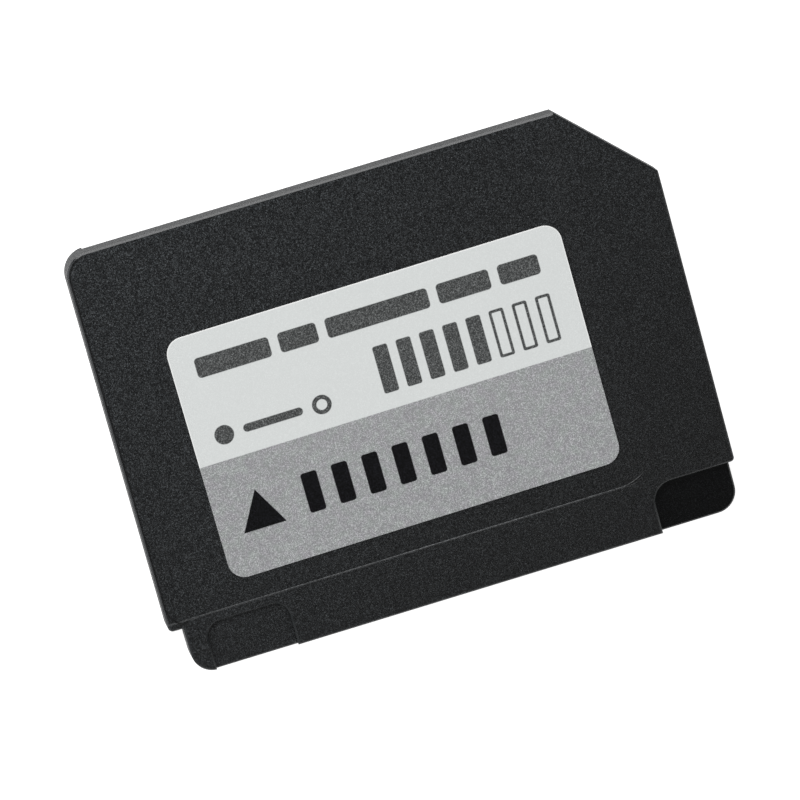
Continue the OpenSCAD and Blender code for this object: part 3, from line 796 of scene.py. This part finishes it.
class CARD_OT_finish_small_parts(Operator):
    """Gives the capacitors and resistors their ceramic and glaze"""

    bl_idname = "card.finish_small_parts"
    bl_label = "Finish the small parts"

    def execute(self, context):
        module = context.scene.card_module
        ceramic = grained(
            "capacitor_ceramic", module.capacitor, module.grain, roughness=0.6, depth=0.002 * MM, contrast=0.15
        )
        glaze = grained(
            "resistor_glaze", module.resistor, module.grain, roughness=0.3, depth=0.001 * MM, contrast=0.15
        )
        finish_nodes(ceramic, nodes_named("capacitor_"))
        finish_nodes(glaze, nodes_named("resistor_"))
        return {"FINISHED"}


# Each light's place, width, height and the setting that holds its power
LIGHTS = {
    "strip_behind": ((0.02, 0.42, 0.07), 0.55, 0.12, "strip_power"),
    "key_behind": ((-0.12, 0.36, 0.36), 0.34, 0.26, "key_power"),
    "side_left": ((-0.42, 0.0, 0.30), 0.20, 0.30, "side_power"),
    "front_fill": ((0.15, -0.40, 0.25), 0.40, 0.16, "fill_power"),
}
WHITE = (1.0, 1.0, 1.0, 1.0)
# The nearest and the farthest that the camera sees
CLIP_NEAR, CLIP_FAR = 0.01, 10.0


def softbox(name, stand, width, height, power):
    """Adds a rectangular light that faces the card and isn't seen by the camera."""
    light = bpy.data.lights.new(name, "AREA")
    light.shape, light.size, light.size_y, light.energy = "RECTANGLE", width, height, power
    lamp = bpy.data.objects.new(name, light)
    bpy.context.scene.collection.objects.link(lamp)
    lamp.location = stand
    lamp.rotation_mode = "QUATERNION"
    lamp.rotation_quaternion = (-Vector(stand)).to_track_quat("-Z", "Y")
    lamp.visible_camera = False


class CARD_OT_set_stage(Operator):
    """Sets the pale floor, the soft lights and the camera at the photograph's angle"""

    bl_idname = "card.set_stage"
    bl_label = "Set the stage"

    def execute(self, context):
        stage = context.scene.card_stage
        scene = context.scene
        mesh = bpy.data.meshes.new("floor")
        shape = bmesh.new()
        bmesh.ops.create_grid(shape, x_segments=1, y_segments=1, size=stage.floor_size / 2)
        shape.to_mesh(mesh)
        shape.free()
        floor = bpy.data.objects.new("floor", mesh)
        scene.collection.objects.link(floor)
        material, tree, shader = new_material("floor_card", stage.floor_roughness)
        shader.inputs["Base Color"].default_value = (*stage.floor, 1.0)
        shader.inputs["Specular IOR Level"].default_value = 0.0
        shader.inputs["Emission Color"].default_value = WHITE
        viewed = add(tree, "ShaderNodeLightPath").outputs["Is Camera Ray"]
        join(tree, shader, Emission_Strength=maths(tree, "MULTIPLY", viewed, stage.floor_glow))
        mesh.materials.append(material)

        world = bpy.data.worlds.new("room")
        scene.world = world
        world.use_nodes = True
        room = world.node_tree
        background = room.nodes["Background"]
        background.inputs["Color"].default_value = (*stage.sky, 1.0)
        seen = add(room, "ShaderNodeLightPath").outputs["Is Camera Ray"]
        bright = maths(room, "MULTIPLY_ADD", seen, stage.backdrop - stage.room_light, stage.room_light)
        room.links.new(bright, background.inputs["Strength"])

        for name, (stand, width, height, power) in LIGHTS.items():
            softbox(name, stand, width, height, getattr(stage, power))

        lens = bpy.data.cameras.new("camera")
        lens.lens = stage.lens
        lens.clip_start, lens.clip_end = CLIP_NEAR, CLIP_FAR
        camera = bpy.data.objects.new("camera", lens)
        scene.collection.objects.link(camera)
        camera.location = stage.camera_place
        camera.rotation_euler = stage.camera_turn
        scene.camera = camera
        scene.view_settings.view_transform = "Standard"
        return {"FINISHED"}


OPERATORS = [
    CARD_OT_finish_cover,
    CARD_OT_finish_label,
    CARD_OT_finish_board,
    CARD_OT_finish_contacts,
    CARD_OT_finish_moulding,
    CARD_OT_finish_chips,
    CARD_OT_finish_small_parts,
    CARD_OT_set_stage,
]
SETTINGS = {
    "card_cover": CoverFinish,
    "card_label": LabelFinish,
    "card_board": BoardFinish,
    "card_contact": ContactFinish,
    "card_module": ModuleFinish,
    "card_stage": StageSizes,
}


class CARD_PT_finish(Panel):
    """Lists the finishes and the stage"""

    bl_idname = "CARD_PT_finish"
    bl_label = "Memory card"
    bl_space_type = "VIEW_3D"
    bl_region_type = "UI"
    bl_category = "Card"

    def draw(self, context):
        for operator in OPERATORS:
            self.layout.operator(operator.bl_idname)
        for name, settings in SETTINGS.items():
            box = self.layout.box()
            box.label(text=settings.__doc__)
            for key in settings.__annotations__:
                box.prop(getattr(context.scene, name), key)


def register():
    """Adds the settings, the operators and the panel."""
    for settings in SETTINGS.values():
        bpy.utils.register_class(settings)
    for name, settings in SETTINGS.items():
        setattr(bpy.types.Scene, name, PointerProperty(type=settings))
    for operator in OPERATORS:
        bpy.utils.register_class(operator)
    bpy.utils.register_class(CARD_PT_finish)


def unregister():
    """Takes away what register adds."""
    bpy.utils.unregister_class(CARD_PT_finish)
    for operator in reversed(OPERATORS):
        bpy.utils.unregister_class(operator)
    for name in SETTINGS:
        delattr(bpy.types.Scene, name)
    for settings in reversed(list(SETTINGS.values())):
        bpy.utils.unregister_class(settings)


def main():
    """Finishes every piece and sets the stage."""
    register()
    bpy.ops.card.finish_cover()
    bpy.ops.card.finish_label()
    bpy.ops.card.finish_board()
    bpy.ops.card.finish_contacts()
    bpy.ops.card.finish_moulding()
    bpy.ops.card.finish_chips()
    bpy.ops.card.finish_small_parts()
    bpy.ops.card.set_stage()


if __name__ == "__main__":
    main()
